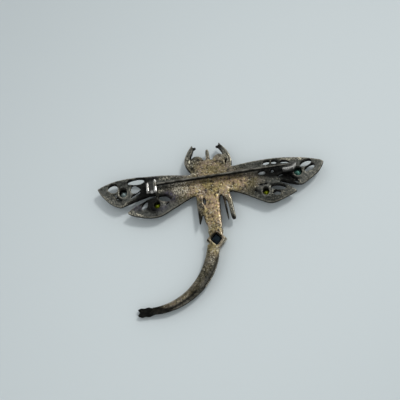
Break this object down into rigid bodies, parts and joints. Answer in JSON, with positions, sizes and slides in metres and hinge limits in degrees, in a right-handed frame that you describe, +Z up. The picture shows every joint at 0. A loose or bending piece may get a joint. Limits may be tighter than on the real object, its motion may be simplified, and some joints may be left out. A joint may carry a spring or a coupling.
{
  "type": "insect brooch",
  "caption": "Dragonfly brooch of pierced cast metal with set stones, lying face down with its hinged pin and catch on top.",
  "frame": {"origin": "on the ground under the middle of the bounding box", "axes": "+X along the wings towards the catch, +Y towards the head, +Z up, away from the face, towards the pin"},
  "size_m": [0.068, 0.0507, 0.0051],
  "materials": {
    "cast_metal": "aged cast silver, darkened in the recesses",
    "pin_wire": "worn silver-coloured wire",
    "rivet": "bright worn metal",
    "blue_stone": "cut, pale blue-grey",
    "teal_stone": "cut, teal",
    "green_stone": "cut, olive green",
    "dark_stone": "cut, near black"
  },
  "bodies": {
    "brooch": {"casting": "cast_metal", "hinge_rivet": "rivet", "stone_left_forewing": "blue_stone", "stone_right_forewing": "teal_stone", "stone_left_hindwing": "green_stone", "stone_right_hindwing": "green_stone", "lozenge_stone": "dark_stone"},
    "pin": {"pin_stem": "pin_wire"}
  },
  "joints": [
    {"name": "pin_hinge", "type": "hinge", "parent": "brooch", "child": "pin", "pos_m": [-0.0162, 0.01354, 0.00422], "axis": [0.0262, -0.9997, 0], "range_deg": [0, 110]}
  ]
}
